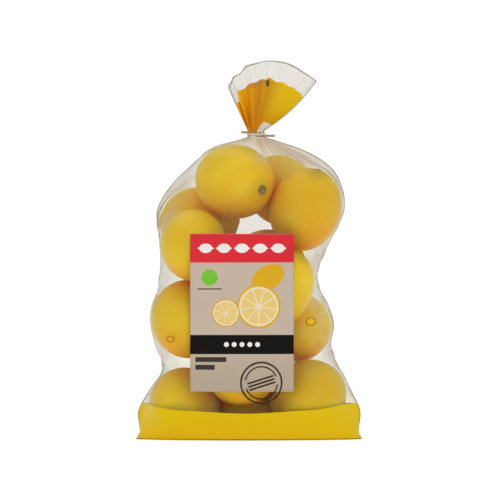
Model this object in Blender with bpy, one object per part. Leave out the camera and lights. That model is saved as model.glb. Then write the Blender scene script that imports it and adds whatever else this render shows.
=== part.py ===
"""Clear film bag of lemons, standing on its flat foot, gathered and tied at the neck.

The bag is one closed solid: foot, body drawn tight over the fruit, neck and pleated ruffle.
The tie round the neck is a second solid. Metres, +Z up, the printed front towards -Y.
"""

import math

import bmesh
import bpy
from mathutils import Euler, Matrix, Vector

MM = 0.001

# Side seams and depth of the body, in mm: height, left seam, right seam, half depth.
SEAMS = (
    (0, -88, 88, 42),
    (6, -85, 85.5, 45),
    (22, -86, 86.5, 51),
    (39, -77, 79, 56),
    (55, -66.5, 70.5, 59),
    (72, -72.5, 64, 60),
    (90, -76.5, 66, 60),
    (105, -73.5, 61.5, 60),
    (123, -70, 52.5, 60),
    (138, -69, 55, 60),
    (156, -69.5, 64, 60),
    (178, -71.5, 74, 58),
    (196, -62, 72.5, 56),
    (212, -46.5, 63.5, 47),
    (225, -30, 43, 31),
)
FOOT_LENS = 1.5        # the foot is a pointed lens, and the body above it an oval
OVAL = 0.85
LENS_FADE = 45 * MM

# Each fruit, in mm and degrees: x, y, z, heading and pitch of its length, length, width.
FRUIT = (
    (-11, -15, 201, -53, -11, 76, 58),
    (44, -22, 179, 122, -58, 73, 56),
    (25, 28, 194, 6, -45, 64, 53),
    (-39, 29, 170, 1, 4, 66, 55),
    (-43, -30, 151, -84, -48, 65, 52),
    (-48, -21, 94, 98, 53, 69, 57),
    (-50, -5, 28, 82, 13, 72, 56),
    (-6, -27, 54, 87, 18, 66, 56),
    (46, -6, 33, 57, 19, 74, 58),
    (37, 18, 87, 78, 3, 66, 55),
    (22, -31, 118, 148, -52, 70, 55),
    (14, 29, 136, 31, 13, 68, 55),
    (-21, 31, 84, -15, 33, 68, 55),
    (0, 29, 32, 2, 53, 68, 54),
)
FILM_GAP = 1.0 * MM    # from the peel to the outside of the film

# Neck and ruffle.
NECK_X = 5.5 * MM
NECK_RADIUS = 6.5 * MM
NECK_LOW = 235.5 * MM
NECK_HIGH = 240.5 * MM
RUFFLE_LEFT = math.radians(-31)    # from upright, towards +X
RUFFLE_RIGHT = math.radians(49)
# The rim's distance from the tie, in mm, at places from the left corner, 0, to the right, 1.
RIM = ((0.0, 41.5), (0.19, 48.5), (0.37, 54.4), (0.5, 57.7), (0.7, 60.2), (1.0, 62.5))
RUFFLE_HALF_DEPTH = 9 * MM
RUFFLE_PLEATS = 5                  # on each side
PLEAT_DEPTH = 4.2 * MM
SHOULDER_PLEATS = 13
SHOULDER_PLEAT_DEPTH = 1.3 * MM
SHOULDER_FROM = 200 * MM           # the pleats start here and deepen up to the neck

# Grid of the bag's skin.
SIDE_COLUMNS = 28                  # on the front, and again on the back
BODY_ROWS = 44
RUFFLE_ROWS = 9
TIGHTEN_STEPS = 90

# Tie.
TIE_GAP = 0.3 * MM
TIE_THICK = 1.2 * MM
TIE_HEIGHT = 3.4 * MM
TIE_Z = 238 * MM
TAIL_LENGTH = 17 * MM
TAIL_TILT = math.radians(4)
TAIL_SWEEP = math.radians(10)


def clear_scene():
    for obj in list(bpy.data.objects):
        bpy.data.objects.remove(obj)


def collection(name):
    made = bpy.data.collections.new(name)
    bpy.context.scene.collection.children.link(made)
    return made


def material(name, color, roughness):
    made = bpy.data.materials.new(name)
    made.use_nodes = True
    shader = made.node_tree.nodes["Principled BSDF"]
    shader.inputs["Base Color"].default_value = (*color, 1.0)
    shader.inputs["Roughness"].default_value = roughness
    shader.inputs["Metallic"].default_value = 0.0
    return made


def smooth_step(value):
    value = min(max(value, 0.0), 1.0)
    return value * value * (3 - 2 * value)


def between(low, high, part):
    return low + (high - low) * part


def seam_rows():
    """The seam table in metres, closed at the top by the neck's own size."""
    rows = [tuple(value * MM for value in row) for row in SEAMS]
    rows.append((NECK_LOW, NECK_X - NECK_RADIUS, NECK_X + NECK_RADIUS, NECK_RADIUS))
    return rows


def seam_at(height, rows):
    """Left seam, right seam and half depth at a height, on a smooth curve through the rows."""
    last = len(rows) - 1
    row = max(0, min(last - 1, sum(1 for entry in rows if entry[0] <= height) - 1))
    low, high = rows[row], rows[row + 1]
    before, after = rows[max(row - 1, 0)], rows[min(row + 2, last)]
    span = high[0] - low[0]
    part = (height - low[0]) / span
    values = []
    for axis in (1, 2, 3):
        slope_low = (high[axis] - before[axis]) / (high[0] - before[0]) * span
        slope_high = (after[axis] - low[axis]) / (after[0] - low[0]) * span
        square, cube = part * part, part ** 3
        values.append(
            low[axis] * (2 * cube - 3 * square + 1)
            + slope_low * (cube - 2 * square + part)
            + high[axis] * (3 * square - 2 * cube)
            + slope_high * (cube - square)
        )
    return values


def ring_angles():
    """Angles round one ring: the left seam first, then the front, the right seam and the back."""
    return [math.pi * column / SIDE_COLUMNS for column in range(2 * SIDE_COLUMNS)]


def body_ring(height, rows):
    left, right, depth = seam_at(height, rows)
    power = between(FOOT_LENS, OVAL, smooth_step(height / LENS_FADE))
    if height >= rows[-2][0]:
        power = between(OVAL, 1.0, (height - rows[-2][0]) / (NECK_LOW - rows[-2][0]))
    middle, half = (left + right) / 2, (right - left) / 2
    ring = []
    for angle in ring_angles():
        sine = math.sin(angle)
        y = -math.copysign(abs(sine) ** power, sine) * depth
        ring.append(Vector((middle - half * math.cos(angle), y, height)))
    return ring


def neck_ring(height):
    return [
        Vector((NECK_X - NECK_RADIUS * math.cos(angle), -NECK_RADIUS * math.sin(angle), height))
        for angle in ring_angles()
    ]


def rim_reach(across):
    for (low, short), (high, long) in zip(RIM, RIM[1:]):
        if across <= high:
            break
    return between(short, long, (across - low) / (high - low)) * MM


def ruffle_ring(out):
    """One ring of the ruffle, from the neck at out = 0 to the rim at out = 1."""
    ring = []
    for angle, start in zip(ring_angles(), neck_ring(NECK_HIGH)):
        across = (1 - math.cos(angle)) / 2
        side = 1 if math.sin(angle) >= 0 else -1
        lean = between(RUFFLE_LEFT, RUFFLE_RIGHT, across)
        reach = rim_reach(across)
        rim = Vector((NECK_X + reach * math.sin(lean), 0, TIE_Z + reach * math.cos(lean)))
        edge = min(1.0, abs(math.sin(angle)) * 2.2)
        wave = math.sin(2 * math.pi * RUFFLE_PLEATS * across + (0 if side > 0 else 2.0))
        depth = between(NECK_RADIUS, RUFFLE_HALF_DEPTH, out) * edge
        spread = smooth_step(out * 1.6)
        depth = between(NECK_RADIUS * abs(math.sin(angle)), depth, spread)
        depth -= wave * PLEAT_DEPTH * out * edge
        point = start.lerp(rim, out)
        point.y = -side * max(depth, 0.0)
        ring.append(point)
    return ring


def fruit_frames():
    """Each fruit as its centre, the turn into its own axes, and its half sizes with the gap."""
    frames = []
    for x, y, z, heading, pitch, length, width in FRUIT:
        turn = Euler((0, -math.radians(pitch), math.radians(heading))).to_matrix()
        half = Vector((length, width, width)) * MM / 2
        half += Vector((FILM_GAP, FILM_GAP, FILM_GAP))
        frames.append((Vector((x, y, z)) * MM, turn, half))
    return frames


def push_out(vert, frames):
    """Moves a point of the skin that has sunk into a fruit back onto its surface."""
    for centre, turn, half in frames:
        offset = vert.co - centre
        if offset.length > half.x:
            continue
        local = turn.transposed() @ offset
        share = Vector((local.x / half.x, local.y / half.y, local.z / half.z)).length
        if 0 < share < 1:
            vert.co = centre + turn @ (local / share)


def tighten(mesh, rings, frames):
    """Draws the skin tight over the fruit: smoothing pulls it in and the fruit holds it out."""
    body = rings[1:BODY_ROWS]
    seams = [ring[column] for ring in body for column in (0, SIDE_COLUMNS)]
    free = [
        vert for ring in body for column, vert in enumerate(ring)
        if column not in (0, SIDE_COLUMNS)
    ]
    for _ in range(TIGHTEN_STEPS):
        bmesh.ops.smooth_vert(
            mesh, verts=free, factor=0.5, use_axis_x=True, use_axis_y=True, use_axis_z=True
        )
        bmesh.ops.smooth_vert(mesh, verts=seams, factor=0.5, use_axis_y=True)
        for vert in free:
            push_out(vert, frames)


def pleat_shoulders(rings):
    """Folds that run up into the neck, deeper the closer they come to it."""
    for ring in rings[1:BODY_ROWS]:
        for column, vert in enumerate(ring):
            if vert.co.z < SHOULDER_FROM or column in (0, SIDE_COLUMNS):
                continue
            rise = (vert.co.z - SHOULDER_FROM) / (NECK_LOW - SHOULDER_FROM)
            angle = math.pi * column / SIDE_COLUMNS
            fold = math.cos(SHOULDER_PLEATS * angle) * rise * (1 - rise) * 4
            out = Vector((vert.co.x - NECK_X, vert.co.y, 0)).normalized()
            vert.co += out * max(fold, -0.4) * SHOULDER_PLEAT_DEPTH


def join_rings(mesh, rings):
    count = len(rings[0])
    for lower, upper in zip(rings, rings[1:]):
        for column in range(count):
            after = (column + 1) % count
            mesh.faces.new((lower[column], lower[after], upper[after], upper[column]))


def close_ring(mesh, ring, upward):
    """Closes an end with strips from the front edge straight across to the back edge."""
    for column in range(SIDE_COLUMNS):
        front = [ring[column], ring[column + 1]]
        back = [ring[-column - 1], ring[-column]] if column else [ring[-1], ring[0]]
        corners = front + [vert for vert in back if vert not in front]
        mesh.faces.new(corners if upward else corners[::-1])


def make_bag(home):
    rows = seam_rows()
    heights = [NECK_LOW * row / BODY_ROWS for row in range(BODY_ROWS + 1)]
    shapes = [body_ring(height, rows) for height in heights]
    shapes.append(neck_ring(NECK_HIGH))
    shapes += [ruffle_ring(row / RUFFLE_ROWS) for row in range(1, RUFFLE_ROWS + 1)]

    mesh = bmesh.new()
    rings = [[mesh.verts.new(point) for point in shape] for shape in shapes]
    join_rings(mesh, rings)
    tighten(mesh, rings, fruit_frames())
    pleat_shoulders(rings)
    close_ring(mesh, rings[0], upward=False)
    close_ring(mesh, rings[-1], upward=True)
    bmesh.ops.triangulate(mesh, faces=mesh.faces[:])
    bmesh.ops.recalc_face_normals(mesh, faces=mesh.faces[:])

    data = bpy.data.meshes.new("bag")
    mesh.to_mesh(data)
    mesh.free()
    data.shade_smooth()
    data.materials.append(material("clear_film_over_lemons", (0.62, 0.40, 0.035), 0.25))
    bag = bpy.data.objects.new("bag", data)
    home.objects.link(bag)
    return bag


def make_tie_tail(side, hidden):
    """A flat end of the tie, running out from the twist behind the neck."""
    mesh = bmesh.new()
    bmesh.ops.create_cube(mesh, size=1.0)
    bmesh.ops.scale(mesh, vec=(TAIL_LENGTH, TIE_THICK, TIE_HEIGHT), verts=mesh.verts)
    bmesh.ops.translate(mesh, vec=(side * TAIL_LENGTH / 2, 0, 0), verts=mesh.verts)
    data = bpy.data.meshes.new("tail")
    mesh.to_mesh(data)
    mesh.free()
    tail = bpy.data.objects.new("tail", data)
    behind = NECK_RADIUS + TIE_GAP + TIE_THICK
    tail.location = (NECK_X, behind, TIE_Z)
    tail.rotation_euler = (0, TAIL_TILT, side * TAIL_SWEEP)
    tail.hide_render = True
    tail.display_type = "WIRE"
    hidden.objects.link(tail)
    return tail


def make_tie(home, hidden):
    radius = NECK_RADIUS + TIE_GAP + TIE_THICK / 2
    bpy.ops.mesh.primitive_torus_add(
        major_radius=radius, minor_radius=TIE_THICK / 2, major_segments=28, minor_segments=8
    )
    tie = bpy.context.object
    tie.name = "tie"
    tie.data.name = "tie"
    for owner in list(tie.users_collection):
        owner.objects.unlink(tie)
    home.objects.link(tie)
    tie.data.transform(Matrix.Diagonal((1, 1, TIE_HEIGHT / TIE_THICK, 1)))
    tie.location = (NECK_X, 0, TIE_Z)

    bpy.ops.mesh.primitive_uv_sphere_add(segments=12, ring_count=8, radius=TIE_HEIGHT * 0.6)
    twist = bpy.context.object
    twist.name = "twist"
    for owner in list(twist.users_collection):
        owner.objects.unlink(twist)
    hidden.objects.link(twist)
    twist.location = (NECK_X, NECK_RADIUS + TIE_GAP + TIE_HEIGHT * 0.6, TIE_Z)
    twist.hide_render = True
    twist.display_type = "WIRE"

    joined = [twist, make_tie_tail(-1, hidden), make_tie_tail(1, hidden)]
    for piece in joined:
        union = tie.modifiers.new(f"join_{piece.name}", "BOOLEAN")
        union.operation = "UNION"
        union.object = piece
    tie.data.materials.append(material("grey_plastic_tie", (0.32, 0.33, 0.35), 0.4))
    tie.data.shade_smooth()
    return tie


def main():
    clear_scene()
    home = collection("lemon_bag")
    hidden = collection("joined_pieces")
    make_bag(home)
    make_tie(home, hidden)


main()
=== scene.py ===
"""Looks for a clear film bag of lemons: fruit, film with its yellow print, label, stamp and tie.

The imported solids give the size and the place, and every piece rides on the one body, "root".
Metres, +Z up, the printed front towards -Y.
"""

import math
from types import SimpleNamespace

import bmesh
import bpy
import numpy as np
from mathutils import Euler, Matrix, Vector
from mathutils.bvhtree import BVHTree


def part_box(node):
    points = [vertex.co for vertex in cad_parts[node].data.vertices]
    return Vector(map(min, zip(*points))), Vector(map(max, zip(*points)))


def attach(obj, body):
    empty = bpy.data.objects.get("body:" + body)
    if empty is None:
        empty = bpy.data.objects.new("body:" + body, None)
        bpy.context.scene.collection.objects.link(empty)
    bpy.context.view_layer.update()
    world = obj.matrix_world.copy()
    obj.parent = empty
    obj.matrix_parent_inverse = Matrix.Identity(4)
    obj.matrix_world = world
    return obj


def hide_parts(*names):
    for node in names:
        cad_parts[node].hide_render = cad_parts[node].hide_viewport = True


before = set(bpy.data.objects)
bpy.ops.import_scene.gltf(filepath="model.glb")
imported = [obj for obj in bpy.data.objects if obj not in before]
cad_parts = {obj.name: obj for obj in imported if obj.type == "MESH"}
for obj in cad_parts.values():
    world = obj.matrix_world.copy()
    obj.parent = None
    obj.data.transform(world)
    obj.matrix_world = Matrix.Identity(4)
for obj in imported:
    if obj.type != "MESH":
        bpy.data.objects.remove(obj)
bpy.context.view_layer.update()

BAG_LOW, BAG_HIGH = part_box("bag")
MM = (BAG_HIGH.x - BAG_LOW.x) / 176        # the foot is 176 mm from corner to corner

# Side seams and depth of the body, in mm: height, left seam, right seam, half depth.
SEAMS = (
    (0, -88, 88, 42),
    (6, -85, 85.5, 45),
    (22, -86, 86.5, 51),
    (39, -77, 79, 56),
    (55, -66.5, 70.5, 59),
    (72, -72.5, 64, 60),
    (90, -76.5, 66, 60),
    (105, -73.5, 61.5, 60),
    (123, -70, 52.5, 60),
    (138, -69, 55, 60),
    (156, -69.5, 64, 60),
    (178, -71.5, 74, 58),
    (196, -62, 72.5, 56),
    (212, -46.5, 63.5, 47),
    (225, -30, 43, 31),
)
FOOT_LENS = 1.5
OVAL = 0.85
LENS_FADE = 45 * MM

# Each lemon, in mm and degrees: x, y, z, heading and pitch of its length, length, width,
# and how far its yellow leans to orange, from 0 to 1.
LEMONS = (
    (-11, -15, 201, -53, -11, 76, 58, 0.10),
    (44, -22, 179, 122, -58, 73, 56, 0.55),
    (25, 28, 194, 6, -45, 64, 53, 0.10),
    (-39, 29, 170, 1, 4, 66, 55, 0.30),
    (-43, -30, 151, -84, -48, 65, 52, 0.15),
    (-48, -21, 94, 98, 53, 69, 57, 0.30),
    (-50, -5, 28, 82, 13, 72, 56, 0.20),
    (-6, -27, 54, 87, 18, 66, 56, 0.05),
    (46, -6, 33, 57, 19, 74, 58, 0.50),
    (37, 18, 87, 78, 3, 66, 55, 0.02),
    (22, -31, 118, 148, -52, 70, 55, 0.05),
    (14, 29, 136, 31, 13, 68, 55, 0.40),
    (-21, 31, 84, -15, 33, 68, 55, 0.30),
    (0, 29, 32, 2, 53, 68, 54, 0.00),
)

# Painted bounce light and shade: peel this close to a second lemon is painted orange, and undersides
# are in part.
BOUNCE_SHADE_REACH = 7 * MM
UNDERSIDE_BOUNCE_SHADE = 0.6

# Neck and ruffle.
NECK_X = 5.5 * MM
NECK_RADIUS = 6.5 * MM
NECK_LOW = 235.5 * MM
NECK_HIGH = 240.5 * MM
TIE_Z = 238 * MM
RUFFLE_LEFT = math.radians(-31)
RUFFLE_RIGHT = math.radians(49)
RUFFLE_LONG = 62.5 * MM
# Reach of the rim from the tie, in mm, at its places from the left edge, 0, to the right, 1.
RIM = (
    (0.0, 41.5), (0.08, 46.0), (0.19, 48.5), (0.28, 53.3), (0.37, 54.4), (0.5, 57.7),
    (0.7, 60.2), (0.87, 60.6), (1.0, 62.5),
)
RIGHT_BULGE = 2.8 * MM
RUFFLE_HALF_DEPTH = 7.5 * MM
PLEAT_DEPTH = 5.0 * MM
# Folds of the ruffle's two layers: place from left to right, width, and size, front or back.
FRONT_FOLDS = (
    (0.05, 0.022, 0.8), (0.11, 0.022, -0.9), (0.17, 0.02, 1.0), (0.235, 0.026, -1.1),
    (0.31, 0.03, 0.9), (0.40, 0.04, -0.8), (0.50, 0.045, 0.5), (0.66, 0.09, -0.35),
    (0.86, 0.07, 0.3),
)
BACK_FOLDS = (
    (0.07, 0.025, -0.8), (0.15, 0.025, 0.9), (0.24, 0.03, -0.8), (0.35, 0.04, 0.7),
    (0.48, 0.06, -0.5), (0.70, 0.08, 0.4), (0.88, 0.06, -0.3),
)
NECK_FOLD = 0.65 * MM
# A fold's crest leans out and draws the rim in by this share of its reach.
RIM_WAVE = 0.006

# Gathers of the shoulders: folds round the bag, start angle, sharpness, and size.
SHOULDER_FOLDS = ((11, 0.4, 2, 1.2), (17, 2.1, 3, 0.9), (31, 1.0, 2, 0.45))
SHOULDER_FROM = 190 * MM
SHOULDER_DEPTH = 1.3 * MM

# Tie.
TIE_RADIUS = 6.9 * MM
LEFT_TIP = (-6.0 * MM, 7.0 * MM, 239.6 * MM)
RIGHT_TIP = (20.2 * MM, 5.0 * MM, 236.6 * MM)
STRIP_WIDTH, STRIP_THICK = 1.9 * MM, 0.35 * MM
WIRE_THICK = 0.9 * MM
TWIST_RADIUS, TWIST_LONG, TWIST_TURNS = 1.0 * MM, 3.6 * MM, 1.25
LOOP_GAP = math.radians(14)                # the loop stops this far off the back on each side

# The film's grid: a coarse one is drawn tight first, then a fine one.
COARSE_COLUMNS, COARSE_ROWS = 56, 44
FINE_COLUMNS, FINE_ROWS = 200, 160
RUFFLE_ROWS = 48
COARSE_STEPS, FINE_STEPS = 90, 60
COARSE_GAP, FINE_GAP = 1.0 * MM, 0.6 * MM
FILM_THICK = 0.12 * MM
SLACK_GAP = 9 * MM                          # film this far off the fruit counts as slack
BEAD = 0.7 * MM
HOLE_LIP = 0.9 * MM

# Pull lines: folds round the bag, climb in radians per mm, start angle, and size.
WRINKLES = (
    (9, 0.16, 0.7, 1.0),
    (7, -0.21, 2.9, 0.9),
    (13, 0.09, 4.4, 0.7),
    (5, -0.33, 1.6, 0.6),
    (3, 0.47, 5.2, 0.5),
)
WRINKLE_DEPTH = 0.7 * MM
# Heights in mm where they set in and fade out, each with the length of the change.
WRINKLE_START, WRINKLE_RISE = 24, 14
WRINKLE_END, WRINKLE_FALL = 225, 20

# Milkiness of each of the wall's two surfaces: everywhere, where slack, on slack creases,
# towards the neck, and on the streaks there.
CLEAR_MILK = (0.002, 0.012, 0.035, 0.08, 0.24)

# Strands below the neck, on the sheet: place from -1 to 1, width and milkiness.
STRANDS = ((-0.03, 0.09, 0.22), (0.11, 0.1, 0.28))

# Vent holes in the front: x, z, half width, half height.
VENT_HOLES = (
    (48 * MM, 92 * MM, 3.9 * MM, 2.8 * MM),
    (-60.8 * MM, 78.5 * MM, 2.8 * MM, 2.2 * MM),
)

# Label on the front.
LABEL_LEFT, LABEL_LOW = -45.4 * MM, 37.8 * MM
LABEL_WIDTH, LABEL_HEIGHT = 80 * MM, 122.2 * MM
LABEL_STEP = 1.0 * MM
LABEL_THICK = 0.1 * MM
LABEL_MARGIN = 5 * MM                      # round the label the film has no pull lines either
PRINT_LIFT = 0.15 * MM
STAMP = (9.5 * MM, 44.8 * MM)
STAMP_TILT = math.radians(17)
STAMP_LIFT = 0.32 * MM
STAMP_THICK = 0.06 * MM

# Print on the film itself: the foot band, its weld, and the eye mark by the ruffle's rim.
FOOT_BAND, FOOT_BAND_CORNER = 21.5 * MM, 6.5 * MM
FOOT_WELD = 1.2 * MM
EYE_MARK = (14.5 * MM, 0, 277.5 * MM)
EYE_MARK_HALF = (1.2 * MM, 1.0, 2.4 * MM)  # its depth takes in every fold of the film


# ---------------------------------------------------------------- small helpers

def srgb(code):
    """An sRGB hex colour, such as D9B42C, as linear red, green, blue and alpha."""
    channels = [int(code[at:at + 2], 16) / 255 for at in (0, 2, 4)]
    linear = [c / 12.92 if c <= 0.04045 else ((c + 0.055) / 1.055) ** 2.4 for c in channels]
    return (*linear, 1.0)


def add(tree, kind, *values, **settings):
    """Adds a node with its settings, its input values and the links into it.

    The values go to the inputs that the settings leave enabled, in their order. One dict in
    their place gives inputs by name. A node as a value stands for its first enabled output.
    """
    made = tree.nodes.new(kind)
    for name, value in settings.items():
        setattr(made, name, value)
    if values and isinstance(values[0], dict):
        pairs = [(made.inputs[name], value) for name, value in values[0].items()]
    else:
        pairs = zip([socket for socket in made.inputs if socket.enabled], values)
    for socket, value in pairs:
        if isinstance(value, bpy.types.Node):
            value = next(output for output in value.outputs if output.enabled)
        if isinstance(value, bpy.types.NodeSocket):
            tree.links.new(value, socket)
        else:
            socket.default_value = value
    return made


def color_stops(made, *stops):
    """Sets a Color Ramp's stops: each is a place from 0 to 1 and a linear colour."""
    elements = made.color_ramp.elements
    while len(elements) < len(stops):
        elements.new(0.5)
    for element, (place, color) in zip(elements, stops):
        element.position = place
        element.color = color
    return made


def new_material(name):
    made = bpy.data.materials.new(name)
    made.use_nodes = True
    made.node_tree.nodes.clear()
    return made, made.node_tree


def show(tree, shader):
    add(tree, "ShaderNodeOutputMaterial", {"Surface": shader})


def place_object(name, data):
    made = bpy.data.objects.new(name, data)
    bpy.context.scene.collection.objects.link(made)
    return made


def smooth_step(value):
    value = np.clip(value, 0.0, 1.0)
    return value * value * (3 - 2 * value)


def between(low, high, part):
    return low + (high - low) * part


def new_piece(name, vertices, faces, material, smooth=True):
    data = bpy.data.meshes.new(name)
    data.from_pydata([tuple(point) for point in vertices], [], faces)
    data.materials.append(material)
    if smooth:
        data.shade_smooth()
    return place_object(name, data)


def bake_modifiers(piece):
    """Replaces a piece's mesh by what its modifiers make of it."""
    graph = bpy.context.evaluated_depsgraph_get()
    data = bpy.data.meshes.new_from_object(piece.evaluated_get(graph))
    piece.modifiers.clear()
    piece.data = data
    data.name = piece.name
    return piece


def thicken(piece, thickness, offset):
    """Turns a sheet into a closed wall that lies inside it, -1, or outside it, 1."""
    wall = piece.modifiers.new("wall", "SOLIDIFY")
    wall.thickness = thickness
    wall.offset = offset
    return bake_modifiers(piece)


def store(data, label, kind, values):
    """Keeps a float or a vector for each point of a mesh."""
    layer = data.attributes.new(label, kind, "POINT")
    field = "vector" if kind == "FLOAT_VECTOR" else "value"
    layer.data.foreach_set(field, np.asarray(values, np.float32).ravel())


def new_geometry_tree(name, sockets):
    """A Geometry Nodes tree with a geometry in and out and the named inputs."""
    tree = bpy.data.node_groups.new(name, "GeometryNodeTree")
    tree.interface.new_socket("Geometry", in_out="INPUT", socket_type="NodeSocketGeometry")
    tree.interface.new_socket("Geometry", in_out="OUTPUT", socket_type="NodeSocketGeometry")
    for label, kind in sockets:
        tree.interface.new_socket(label, in_out="INPUT", socket_type=f"NodeSocket{kind}")
    return tree


def run_tree(piece, tree, values):
    """Runs a Geometry Nodes tree on a piece and keeps the result as a plain mesh."""
    modifier = piece.modifiers.new(tree.name, "NODES")
    modifier.node_group = tree
    for item in tree.interface.items_tree:
        if item.in_out == "INPUT" and item.name in values:
            modifier[item.identifier] = values[item.name]
    return bake_modifiers(piece)


def finish_tree(tree, shape, material):
    """Ends a tree with its realized shape, smooth and in its material."""
    smooth = add(tree, "GeometryNodeSetShadeSmooth", {"Geometry": shape})
    done = add(tree, "GeometryNodeSetMaterial", {"Geometry": smooth, "Material": material})
    add(tree, "NodeGroupOutput", {"Geometry": done})
    return tree


# ---------------------------------------------------------------- lemons

def on_each_lemon(tree, given, unit):
    """Puts a unit shape on each point, scaled and turned as that lemon is."""
    turn = add(tree, "GeometryNodeInputNamedAttribute", {"Name": "turn"},
               data_type="FLOAT_VECTOR")
    half = add(tree, "GeometryNodeInputNamedAttribute", {"Name": "half_size"},
               data_type="FLOAT_VECTOR")
    turned = add(tree, "FunctionNodeEulerToRotation", {"Euler": turn})
    laid = add(tree, "GeometryNodeInstanceOnPoints", {
        "Points": given["Geometry"], "Instance": unit, "Rotation": turned, "Scale": half,
    })
    return add(tree, "GeometryNodeRealizeInstances", {"Geometry": laid})


def lemon_tree():
    """Lemons on points: a unit lemon with its length on Z is scaled and turned onto each point."""
    tree = new_geometry_tree("lemons", (
        ("Segments", "Int"), ("Rings", "Int"), ("Tip height", "Float"), ("Tip width", "Float"),
        ("Unevenness", "Float"), ("Peel lumps", "Float"), ("Seed", "Float"),
        ("Peel", "Material"),
    ))
    given = add(tree, "NodeGroupInput").outputs
    ball = add(tree, "GeometryNodeMeshUVSphere", {
        "Segments": given["Segments"], "Rings": given["Rings"], "Radius": 1.0,
    })
    place = add(tree, "GeometryNodeInputPosition")
    part = add(tree, "ShaderNodeSeparateXYZ", place).outputs
    flat = add(tree, "ShaderNodeCombineXYZ", part["X"], part["Y"])
    out = add(tree, "ShaderNodeVectorMath", flat, operation="LENGTH")

    def bell(width):
        share = add(tree, "ShaderNodeMath", out, width, operation="DIVIDE")
        square = add(tree, "ShaderNodeMath", share, share, operation="MULTIPLY")
        minus = add(tree, "ShaderNodeMath", square, -1.0, operation="MULTIPLY")
        return add(tree, "ShaderNodeMath", minus, operation="EXPONENT")

    # The blossom end, at -Z, carries a full tip. The stem end has a low one with a dimple.
    upper = add(tree, "ShaderNodeMath", part["Z"], 0.0, operation="GREATER_THAN")
    side = add(tree, "ShaderNodeMath", part["Z"], operation="SIGN")
    tip_share = add(tree, "ShaderNodeMath", upper, -0.5, 1.0, operation="MULTIPLY_ADD")
    tip = add(tree, "ShaderNodeMath", bell(given["Tip width"]), tip_share, operation="MULTIPLY")
    tip = add(tree, "ShaderNodeMath", tip, given["Tip height"], operation="MULTIPLY")
    dimple = add(tree, "ShaderNodeMath", bell(0.085), upper, operation="MULTIPLY")
    tip = add(tree, "ShaderNodeMath", dimple, -0.035, tip, operation="MULTIPLY_ADD")
    body = add(tree, "ShaderNodeMath", 1.0, given["Tip height"], operation="SUBTRACT")
    height = add(tree, "ShaderNodeMath", part["Z"], body, operation="MULTIPLY")
    height = add(tree, "ShaderNodeMath", tip, side, height, operation="MULTIPLY_ADD")
    # Both ends draw in a little before the tip.
    square = add(tree, "ShaderNodeMath", part["Z"], part["Z"], operation="MULTIPLY")
    draw_in = add(tree, "ShaderNodeMath", square, -0.04, 1.0, operation="MULTIPLY_ADD")
    shaped = add(tree, "ShaderNodeCombineXYZ", {
        "X": add(tree, "ShaderNodeMath", part["X"], draw_in, operation="MULTIPLY"),
        "Y": add(tree, "ShaderNodeMath", part["Y"], draw_in, operation="MULTIPLY"),
        "Z": height,
    })
    unit = add(tree, "GeometryNodeSetPosition", {"Geometry": ball, "Position": shaped})
    unit = add(tree, "GeometryNodeStoreNamedAttribute", {
        "Geometry": unit, "Name": "own", "Value": place,
    }, data_type="FLOAT_VECTOR", domain="POINT")
    real = on_each_lemon(tree, given, unit)

    for strength, spacing, detail in (
        ("Unevenness", 34 * MM, 0.0), ("Peel lumps", 7 * MM, 1.0),
    ):
        noise = add(tree, "ShaderNodeTexNoise", {
            "Vector": add(tree, "GeometryNodeInputPosition"), "W": given["Seed"],
            "Scale": 1 / spacing, "Detail": detail,
        }, noise_dimensions="4D")
        sunk = add(tree, "ShaderNodeMath", noise, 0.65, operation="SUBTRACT")
        sunk = add(tree, "ShaderNodeMath", sunk, given[strength], operation="MULTIPLY")
        normal = add(tree, "GeometryNodeInputNormal")
        offset = add(tree, "ShaderNodeVectorMath", normal, sunk, operation="SCALE")
        real = add(tree, "GeometryNodeSetPosition", {"Geometry": real, "Offset": offset})

    return finish_tree(tree, real, given["Peel"])


def calyx_tree():
    """The little star left where the stalk broke off, on the stem end of each lemon."""
    tree = new_geometry_tree("stem_scars", (
        ("Star radius", "Float"), ("Seat", "Float"), ("Thickness", "Float"),
        ("Bark", "Material"),
    ))
    given = add(tree, "NodeGroupInput").outputs
    notch = add(tree, "ShaderNodeMath", given["Star radius"], 0.74, operation="MULTIPLY")
    star = add(tree, "GeometryNodeCurveStar", {
        "Points": 7, "Inner Radius": notch, "Outer Radius": given["Star radius"],
    })
    sheet = add(tree, "GeometryNodeFillCurve", {"Curve": star}, mode="NGONS")
    raised = add(tree, "GeometryNodeExtrudeMesh", {
        "Mesh": sheet, "Offset Scale": given["Thickness"], "Individual": False,
    })
    inset = add(tree, "GeometryNodeScaleElements", {
        "Geometry": raised, "Selection": raised.outputs["Top"], "Scale": 0.72,
    })
    sunk = add(tree, "ShaderNodeMath", given["Thickness"], -0.5, operation="MULTIPLY")
    dip = add(tree, "GeometryNodeExtrudeMesh", {
        "Mesh": inset, "Selection": raised.outputs["Top"], "Offset Scale": sunk,
        "Individual": False,
    })
    inner = add(tree, "GeometryNodeScaleElements", {
        "Geometry": dip, "Selection": dip.outputs["Top"], "Scale": 0.6,
    })
    base = add(tree, "GeometryNodeFlipFaces", {"Mesh": sheet})
    closed = add(tree, "GeometryNodeJoinGeometry")
    tree.links.new(inner.outputs[0], closed.inputs[0])
    tree.links.new(base.outputs[0], closed.inputs[0])
    merged = add(tree, "GeometryNodeMergeByDistance", {"Geometry": closed, "Distance": 0.0001})
    rounded = add(tree, "GeometryNodeSubdivisionSurface", {"Mesh": merged, "Level": 2})
    seat = add(tree, "ShaderNodeCombineXYZ", {"Z": given["Seat"]})
    seated = add(tree, "GeometryNodeTransform", {"Geometry": rounded, "Translation": seat})
    return finish_tree(tree, on_each_lemon(tree, given, seated), given["Bark"])


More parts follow.
